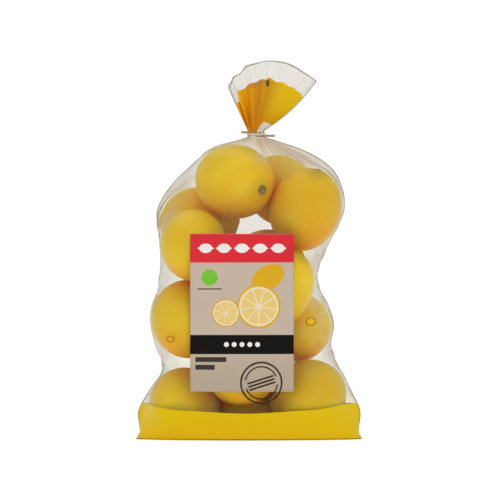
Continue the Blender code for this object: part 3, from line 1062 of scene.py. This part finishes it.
def swept_tree():
    """Sweeps an oval section along every chain of edges it is given."""
    tree = new_geometry_tree("swept_strip", (
        ("Width", "Float"), ("Thickness", "Float"), ("Sides", "Int"), ("Surface", "Material"),
    ))
    given = add(tree, "NodeGroupInput").outputs
    path = add(tree, "GeometryNodeMeshToCurve", {"Mesh": given["Geometry"]})
    path = add(tree, "GeometryNodeSetCurveNormal", {"Curve": path}, mode="Z_UP")
    twist = add(tree, "GeometryNodeInputNamedAttribute", {"Name": "twist"}, data_type="FLOAT")
    path = add(tree, "GeometryNodeSetCurveTilt", {"Curve": path, "Tilt": twist})
    ring = add(tree, "GeometryNodeCurvePrimitiveCircle", {
        "Resolution": given["Sides"], "Radius": 0.5,
    }, mode="RADIUS")
    size = add(tree, "ShaderNodeCombineXYZ", {"X": given["Thickness"], "Y": given["Width"], "Z": 1.0})
    section = add(tree, "GeometryNodeTransform", {"Geometry": ring, "Scale": size})
    swept = add(tree, "GeometryNodeCurveToMesh", {
        "Curve": path, "Profile Curve": section, "Fill Caps": True,
    })
    real = add(tree, "GeometryNodeRealizeInstances", {"Geometry": swept})
    return finish_tree(tree, real, given["Surface"])


def chain_piece(name, chains):
    """A piece of bare edges: each chain is its points, its twist and whether it closes."""
    points, edges, twists = [], [], []
    for chain, twist, closed in chains:
        start = len(points)
        count = len(chain)
        points += [tuple(point) for point in chain]
        edges += [(start + at, start + at + 1) for at in range(count - 1)]
        if closed:
            edges.append((start + count - 1, start))
        twists += list(np.broadcast_to(twist, count))
    data = bpy.data.meshes.new(name)
    data.from_pydata(points, edges, [])
    store(data, "twist", "FLOAT", twists)
    return place_object(name, data)


def sweep(name, chains, width, thickness, sides, material):
    """A piece that is one strip of this section along every chain."""
    return run_tree(chain_piece(name, chains), swept_tree(), {
        "Width": width, "Thickness": thickness, "Sides": sides, "Surface": material,
    })


def bead_material():
    """Heat-sealed and cut polythene: where the film is doubled or cut it looks grey, and its
    yellow print turns dull."""
    material, tree = new_material("sealed_polythene_edge")
    place = add(tree, "ShaderNodeTexCoord").outputs["Object"]
    height = add(tree, "ShaderNodeSeparateXYZ", place).outputs["Z"]
    grain = add(tree, "ShaderNodeTexNoise", {"Vector": place, "Scale": 1 / (4 * MM), "Detail": 2.0})
    grey = add(tree, "ShaderNodeMix", grain, srgb("B4B0AA"), srgb("908C88"), data_type="RGBA")
    on_foot = add(tree, "ShaderNodeMath", height, 27 * MM, operation="LESS_THAN")
    from_neck = add(tree, "ShaderNodeVectorMath", place, (NECK_X, 0, TIE_Z),
                    operation="DISTANCE")
    near_neck = add(tree, "ShaderNodeMath", from_neck, 30 * MM, operation="LESS_THAN")
    over_neck = add(tree, "ShaderNodeMath", height, NECK_HIGH, operation="GREATER_THAN")
    on_ruffle = add(tree, "ShaderNodeMath", near_neck, over_neck, operation="MULTIPLY")
    inked = add(tree, "ShaderNodeMath", on_foot, on_ruffle, operation="MAXIMUM")
    color = add(tree, "ShaderNodeMix", inked, grey, srgb("B0861A"), data_type="RGBA")
    bump = add(tree, "ShaderNodeBump", {"Height": grain, "Strength": 0.3, "Distance": 0.2 * MM})
    shader = add(tree, "ShaderNodeBsdfPrincipled", {
        "Base Color": color, "Roughness": 0.45, "Normal": bump, "Specular IOR Level": 0.2,
        "Alpha": 0.75,
    })
    show(tree, shader)
    return material


def hole_lip_painted_shade_material():
    """The melted lip of a punched hole, polythene lying on the peel, painted amber-brown as painted
    shade round the hole.
    """
    material, tree = new_material("polythene_hole_lip_painted_shade")
    place = add(tree, "ShaderNodeTexCoord").outputs["Object"]
    grain = add(tree, "ShaderNodeTexNoise", {"Vector": place, "Scale": 1 / (2 * MM), "Detail": 2.0})
    color = add(tree, "ShaderNodeMix", grain, srgb("CC8A0C"), srgb("B87C14"), data_type="RGBA")
    shader = add(tree, "ShaderNodeBsdfPrincipled", {
        "Base Color": color, "Roughness": 0.5, "Specular IOR Level": 0.1, "Alpha": 0.7,
    })
    show(tree, shader)
    return material


def make_beads(rings, rims):
    """Side welds, the foot's weld, the cut rim and the punched edges, as thin round beads."""
    half = rings.shape[1] // 2
    foot = rings[0] + np.array([0, 0, BEAD / 2])
    sides = [(rings[1:, column], 0.0, False) for column in (0, half)]
    loops = [(foot, 0.0, True), (rings[-1], 0.0, True)]
    holes = [(rim, 0.0, True) for rim in rims]
    welds = sweep("edge_welds", sides + loops, BEAD, BEAD, 6, bead_material())
    # The punched edges are painted amber-brown for the shade round the holes.
    punched = sweep("vent_rims", holes, HOLE_LIP, HOLE_LIP, 6, hole_lip_painted_shade_material())
    return welds, punched


# ---------------------------------------------------------------- tie

def tie_material():
    """Paper-and-wire twist tie with a clear coat: pale, slightly fibrous, soft shine."""
    material, tree = new_material("coated_paper_twist_tie")
    place = add(tree, "ShaderNodeTexCoord").outputs["Object"]
    fibre = add(tree, "ShaderNodeTexNoise", {"Vector": place, "Scale": 1 / (1.2 * MM), "Detail": 3.0})
    color = add(tree, "ShaderNodeMix", fibre, srgb("DCCCAE"), srgb("BEB09A"), data_type="RGBA")
    bump = add(tree, "ShaderNodeBump", {"Height": fibre, "Strength": 0.25, "Distance": 0.15 * MM})
    shader = add(tree, "ShaderNodeBsdfPrincipled", {
        "Base Color": color, "Roughness": 0.4, "Normal": bump, "Specular IOR Level": 0.4,
    })
    show(tree, shader)
    return material


def tie_path():
    """Once round the neck, a twisted pair at the back, and the two ends splayed out."""
    loop_steps, twist_steps, end_steps = 60, 16, 14
    ring = []
    for step in range(loop_steps + 1):
        angle = math.radians(90) + LOOP_GAP + 2 * (math.pi - LOOP_GAP) * step / loop_steps
        ring.append((NECK_X + TIE_RADIUS * math.cos(angle), TIE_RADIUS * math.sin(angle),
                     TIE_Z + 0.5 * MM * math.sin(angle)))

    def end(tip, start):
        """Through the twisted pair, from its start angle there, and on to the tip of one end."""
        points = []
        for step in range(1, twist_steps + 1):
            part = step / twist_steps
            turn = 2 * math.pi * TWIST_TURNS * part + start
            points.append((
                NECK_X + TWIST_RADIUS * math.cos(turn), TIE_RADIUS + TWIST_LONG * part,
                TIE_Z + TWIST_RADIUS * math.sin(turn),
            ))
        base = np.array(points[-1])
        for step in range(1, end_steps + 1):
            part = step / end_steps
            spot = base + (np.array(tip) - base) * part
            spot[1] += 1.2 * MM * math.sin(math.pi * part)
            points.append(tuple(spot))
        return points

    # Seen from above the loop runs anticlockwise, so it starts left of the back.
    return end(LEFT_TIP, 0.0)[::-1] + ring + end(RIGHT_TIP, math.pi)


def make_tie():
    chains = [(np.array(tie_path()), 0.0, False)]
    material = tie_material()
    wire = sweep("tie_wire", chains, WIRE_THICK, WIRE_THICK, 10, material)
    strip = sweep("twist_tie", chains, STRIP_WIDTH, STRIP_THICK, 12, material)
    return strip, wire


# ---------------------------------------------------------------- print on the front

def on_film(tree, x, z, lift):
    """The point of the film's front at x and z, lifted off it towards the front."""
    hit, normal, _, _ = tree.ray_cast(Vector((x, BAG_LOW.y * 2, z)), Vector((0, 1, 0)))
    if hit is None:
        return Vector((x, 0, z))
    if normal.y > 0:
        normal = -normal
    return hit + normal * lift


def lay_grid(name, tree, xs, zs, material, thickness):
    """A rectangular sheet of print laid on the film, as a thin closed wall."""
    points = [on_film(tree, x, z, PRINT_LIFT) for z in zs for x in xs]
    width = len(xs)
    faces = [
        (row * width + column, row * width + column + 1,
         (row + 1) * width + column + 1, (row + 1) * width + column)
        for row in range(len(zs) - 1) for column in range(width - 1)
    ]
    piece = new_piece(name, points, faces, material)
    uv = piece.data.uv_layers.new(name="sheet")
    for loop in piece.data.loops:
        row, column = divmod(loop.vertex_index, width)
        uv.data[loop.index].uv = ((xs[column] - xs[0]) / MM / 100, (zs[row] - zs[0]) / MM / 100)
    return thicken(piece, thickness, 1.0)


def label_material():
    """Flexo ink on film: flat, slightly grainy fields with the film's own low gloss."""
    material, tree = new_material("flexo_printed_label")
    sheet = add(tree, "ShaderNodeUVMap", uv_map="sheet")
    # The UV map holds the label's own millimetres, divided by 100.
    spot = add(tree, "ShaderNodeVectorMath", sheet, 100.0, operation="SCALE")
    part = add(tree, "ShaderNodeSeparateXYZ", spot).outputs
    place = add(tree, "ShaderNodeTexCoord").outputs["Object"]

    def disc(x, y, radius):
        far = add(tree, "ShaderNodeVectorMath", spot, (x, y, 0), operation="DISTANCE")
        return add(tree, "ShaderNodeMath", far, radius, operation="LESS_THAN")

    def box(x, y, half_width, half_height):
        wide = add(tree, "ShaderNodeMath", part["X"], x, half_width, operation="COMPARE")
        tall = add(tree, "ShaderNodeMath", part["Y"], y, half_height, operation="COMPARE")
        return add(tree, "ShaderNodeMath", wide, tall, operation="MULTIPLY")

    def oval(x, y, half_width, half_height, turn=0.0):
        """An oval with its own turn, as a Mapping node that makes it the unit circle."""
        local = add(tree, "ShaderNodeMapping", {
            "Vector": spot, "Location": (x, y, 0), "Rotation": (0, 0, turn),
            "Scale": (half_width, half_height, 1),
        }, vector_type="TEXTURE")
        far = add(tree, "ShaderNodeVectorMath", local, operation="LENGTH")
        return add(tree, "ShaderNodeMath", far, 1.0, operation="LESS_THAN")

    def slice_of_fruit(color, x, y, radius, wedges):
        """A cut round: rind, pith, and pulp in wedges with pale lines between them."""
        local = add(tree, "ShaderNodeVectorMath", spot, (x, y, 0), operation="SUBTRACT")
        far = add(tree, "ShaderNodeVectorMath", local, operation="LENGTH")
        own = add(tree, "ShaderNodeSeparateXYZ", local).outputs
        angle = add(tree, "ShaderNodeMath", own["Y"], own["X"], operation="ARCTAN2")
        turns = add(tree, "ShaderNodeMath", angle, wedges / (2 * math.pi), 0.25,
                    operation="MULTIPLY_ADD")
        off = add(tree, "ShaderNodeMath", turns, 0.5, operation="PINGPONG")
        arc = add(tree, "ShaderNodeMath", far, 2 * math.pi / wedges, operation="MULTIPLY")
        gap = add(tree, "ShaderNodeMath", off, arc, operation="MULTIPLY")
        in_wedge = add(tree, "ShaderNodeMath", gap, radius * 0.028, operation="GREATER_THAN")
        in_pulp = add(tree, "ShaderNodeMath", far, radius * 0.8, operation="LESS_THAN")
        off_core = add(tree, "ShaderNodeMath", far, radius * 0.12, operation="GREATER_THAN")
        pulp = add(tree, "ShaderNodeMath", in_wedge, in_pulp, operation="MULTIPLY")
        pulp = add(tree, "ShaderNodeMath", pulp, off_core, operation="MULTIPLY")
        along = add(tree, "ShaderNodeMath", angle, 14.0, operation="MULTIPLY")
        outwards = add(tree, "ShaderNodeMath", far, 0.12, operation="MULTIPLY")
        cells = add(tree, "ShaderNodeCombineXYZ", along, outwards)
        streak = add(tree, "ShaderNodeTexNoise", {"Vector": cells, "Scale": 1.0, "Detail": 2.0})
        flesh = add(tree, "ShaderNodeMix", streak, srgb("E3CB86"), srgb("D8B658"),
                    data_type="RGBA")
        for reach, layer in ((1.0, srgb("D2A423")), (0.9, srgb("E2D3B4"))):
            within = add(tree, "ShaderNodeMath", far, radius * reach, operation="LESS_THAN")
            color = add(tree, "ShaderNodeMix", within, color, layer, data_type="RGBA")
        return add(tree, "ShaderNodeMix", pulp, color, flesh, data_type="RGBA")

    kraft, white, rule = srgb("C3B2A0"), srgb("E6E0DA"), srgb("3A342E")
    wash = add(tree, "ShaderNodeTexNoise", {"Vector": place, "Scale": 1 / (18 * MM), "Detail": 4.0})
    color = add(tree, "ShaderNodeMix", wash, kraft, srgb("B9A898"), data_type="RGBA")
    low_down = add(tree, "ShaderNodeMapRange", part["Y"], 45.0, 5.0,
                   interpolation_type="SMOOTHSTEP")
    color = add(tree, "ShaderNodeMix", low_down, color, srgb("B0A08C"), data_type="RGBA")

    # A whole fruit with two cut rounds before it.
    whole = oval(60.0, 88.5, 13.5, 9.0, 0.5)
    color = add(tree, "ShaderNodeMix", whole, color, srgb("D3A31E"), data_type="RGBA")
    color = slice_of_fruit(color, 53.0, 66.0, 17.0, 9)
    color = slice_of_fruit(color, 27.5, 61.0, 11.0, 8)
    # A green spot over a fine rule, and the red head.
    shapes = [
        (disc(15.0, 88.5, 6.2), srgb("6DBB33")),
        (box(15.0, 79.6, 9.5, 0.5), srgb("4C4A38")),
        (box(40.0, 111.0, 60.0, 11.0), srgb("D22A36")),
    ]
    # A row of pale lemon shapes on the head.
    for step in range(5):
        middle = 12.0 + 14.0 * step
        shapes.append((oval(middle, 111.0, 5.0, 3.6), white))
        shapes.append((oval(middle, 111.0, 6.2, 1.3), white))
    # A black band with a row of spots, and two short dark rules below it.
    shapes.append((box(40.0, 36.6, 60.0, 7.45), srgb("060506")))
    shapes += [(disc(28.0 + 6.0 * step, 36.6, 1.9), white) for step in range(5)]
    shapes.append((box(16.0, 25.0, 12.0, 1.9), rule))
    shapes.append((box(11.5, 19.0, 7.5, 1.9), rule))
    for shape, ink in shapes:
        color = add(tree, "ShaderNodeMix", shape, color, ink, data_type="RGBA")

    grain = add(tree, "ShaderNodeTexNoise", {"Vector": place, "Scale": 1 / (0.9 * MM), "Detail": 2.0})
    grain = add(tree, "ShaderNodeMath", grain, 0.04, operation="MULTIPLY")
    color = add(tree, "ShaderNodeMix", grain, color, srgb("8D7F70"), data_type="RGBA")
    bump = add(tree, "ShaderNodeBump", {"Height": wash, "Strength": 0.15, "Distance": 0.5 * MM})
    shader = add(tree, "ShaderNodeBsdfPrincipled", {
        "Base Color": color, "Roughness": 0.42, "Normal": bump, "IOR": 1.45,
        "Specular IOR Level": 0.05,
    })
    show(tree, shader)
    return material


def make_label(tree):
    columns = round(LABEL_WIDTH / LABEL_STEP) + 1
    rows = round(LABEL_HEIGHT / LABEL_STEP) + 1
    xs = np.linspace(LABEL_LEFT, LABEL_LEFT + LABEL_WIDTH, columns)
    zs = np.linspace(LABEL_LOW, LABEL_LOW + LABEL_HEIGHT, rows)
    return lay_grid("label", tree, xs, zs, label_material(), LABEL_THICK)


def ink_material():
    """Dark brown flexo ink, a little thin in places, so the film shows through its grain."""
    material, tree = new_material("dark_brown_flexo_ink")
    place = add(tree, "ShaderNodeTexCoord").outputs["Object"]
    grain = add(tree, "ShaderNodeTexNoise", {"Vector": place, "Scale": 1 / (2.2 * MM), "Detail": 3.0})
    color = color_stops(
        add(tree, "ShaderNodeValToRGB", grain), (0.35, srgb("241A10")), (0.7, srgb("4C3A24")),
    )
    shader = add(tree, "ShaderNodeBsdfPrincipled", {
        "Base Color": color, "Roughness": 0.5, "Specular IOR Level": 0.1,
    })
    show(tree, shader)
    return material


def ring_strip(middle, radius, width, start, stop, steps):
    """Inner and outer points of an arc of ink, in x and z."""
    rows = []
    for edge in (radius - width / 2, radius + width / 2):
        rows.append([
            (middle[0] + edge * math.cos(start + (stop - start) * step / steps),
             middle[1] + edge * math.sin(start + (stop - start) * step / steps))
            for step in range(steps + 1)
        ])
    return rows


def bar_strip(middle, length, height, tilt, steps):
    """Lower and upper edge of a tilted bar of ink, in x and z."""
    along = (math.cos(tilt), math.sin(tilt))
    rows = []
    for side in (-0.5, 0.5):
        rows.append([
            (middle[0] + along[0] * length * (step / steps - 0.5) - along[1] * height * side,
             middle[1] + along[1] * length * (step / steps - 0.5) + along[0] * height * side)
            for step in range(steps + 1)
        ])
    return rows


def make_stamp(tree):
    """A round stamp half on the label: a full ring, a broken ring and three tilted bars."""
    full_radius, broken_radius, bar_long = 15.7 * MM, 12.4 * MM, 21 * MM
    thick, thin, bar_spacing = 1.3 * MM, 1.0 * MM, 2.6 * MM
    strips = [ring_strip(STAMP, full_radius, thick, 0, 2 * math.pi, 96)]
    for start, stop in ((24, 170), (200, 354)):
        strips.append(ring_strip(STAMP, broken_radius, thin, math.radians(start),
                                 math.radians(stop), 48))
    for up in (-bar_spacing, 0.0, bar_spacing):
        middle = (STAMP[0] - up * math.sin(STAMP_TILT), STAMP[1] + up * math.cos(STAMP_TILT))
        strips.append(bar_strip(middle, bar_long, thick, STAMP_TILT, 24))
    points, faces = [], []
    for inner, outer in strips:
        start, count = len(points), len(inner)
        points += [on_film(tree, x, z, STAMP_LIFT) for x, z in inner + outer]
        for at in range(count - 1):
            low, high = start + at, start + count + at
            faces.append((low, high, high + 1, low + 1))
    stamp = new_piece("stamp", points, faces, ink_material())
    mesh = bmesh.new()
    mesh.from_mesh(stamp.data)
    bmesh.ops.remove_doubles(mesh, verts=mesh.verts, dist=0.00001)
    for face in mesh.faces:
        if face.normal.y > 0:
            face.normal_flip()
    mesh.to_mesh(stamp.data)
    mesh.free()
    return thicken(stamp, STAMP_THICK, 1.0)


# ---------------------------------------------------------------- studio

def floor_material():
    """Matt white acrylic, a light table that is lit a little from below."""
    material, tree = new_material("matt_white_acrylic")
    place = add(tree, "ShaderNodeTexCoord").outputs["Object"]
    mottle = add(tree, "ShaderNodeTexNoise", {"Vector": place, "Scale": 3.0})
    color = add(tree, "ShaderNodeMix", mottle, srgb("FAFAFA"), srgb("FCFCFC"), data_type="RGBA")
    shader = add(tree, "ShaderNodeBsdfPrincipled", {
        "Base Color": color, "Roughness": 0.9, "Emission Color": (1, 1, 1, 1),
        "Emission Strength": 0.2,
    })
    show(tree, shader)
    return material


def make_floor():
    """A flat floor. Behind it the camera looks at the white band of the world."""
    points = [(-4, -4, 0), (4, -4, 0), (4, 0.9, 0), (-4, 0.9, 0)]
    floor = new_piece("floor", points, [(0, 1, 2, 3)], floor_material(), smooth=False)


def make_light(name, place, aim, size, power):
    data = bpy.data.lights.new(name, "AREA")
    data.shape = "RECTANGLE"
    data.size, data.size_y = size
    data.energy = power
    light = place_object(name, data)
    light.location = place
    light.rotation_euler = (Vector(aim) - Vector(place)).to_track_quat("-Z", "Y").to_euler()


def make_studio():
    make_floor()
    middle = (0, 0, BAG_HIGH.z / 2)
    make_light("key", (-1.1, -1.5, 1.5), middle, (1.2, 1.2), 3)
    make_light("fill", (1.5, -1.2, 0.8), middle, (1.2, 1.2), 2)
    make_light("front left", (-0.7, -2.6, 0.2), middle, (0.9, 0.9), 4.2)
    make_light("front right", (0.7, -2.6, 0.2), middle, (0.9, 0.9), 3.4)
    make_light("top", (0, 0.1, 1.7), (0, 0, 0), (2.4, 2.0), 12)
    # A white band round the horizon stands for a lit wall. The rest of the room is dimmer.
    world = bpy.data.worlds.new("studio")
    world.use_nodes = True
    tree = world.node_tree
    tree.nodes.clear()
    way = add(tree, "ShaderNodeTexCoord").outputs["Object"]
    climb = add(tree, "ShaderNodeSeparateXYZ", way).outputs["Z"]
    climb = add(tree, "ShaderNodeMath", climb, operation="ABSOLUTE")
    level = add(tree, "ShaderNodeMapRange", climb, 0.06, 0.16, 1.06, 0.66,
                interpolation_type="SMOOTHSTEP")
    sky = add(tree, "ShaderNodeBackground", {"Color": (1, 1, 1, 1), "Strength": level})
    add(tree, "ShaderNodeOutputWorld", {"Surface": sky})
    bpy.context.scene.world = world
    scene = bpy.context.scene
    scene.view_settings.view_transform = "Standard"
    scene.cycles.transparent_max_bounces = 48
    scene.cycles.max_bounces = 12


def make_camera():
    """Level with the middle of the bag and far off, so that the foot's edge looks straight."""
    distance, view_width = 6.0, 0.39
    data = bpy.data.cameras.new("camera")
    data.sensor_width = 36
    data.lens = data.sensor_width * distance / view_width
    data.clip_end = 30
    camera = place_object("camera", data)
    camera.location = (0.8 * MM, -distance, BAG_HIGH.z / 2)
    camera.rotation_euler = (math.radians(90), 0, 0)
    bpy.context.scene.camera = camera


# ---------------------------------------------------------------- the bag

def main():
    make_camera()
    make_studio()
    lemons, scars = make_lemons()
    film, film_tree, rings, rims = make_film(film_material())
    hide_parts("bag")
    welds, punched = make_beads(rings, rims)
    label = make_label(film_tree)
    stamp = make_stamp(film_tree)
    tie, wire = make_tie()
    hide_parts("tie")
    for piece in (lemons, scars, film, welds, punched, label, stamp):
        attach(piece, "root")
    for piece in (tie, wire):
        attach(piece, "root")


main()
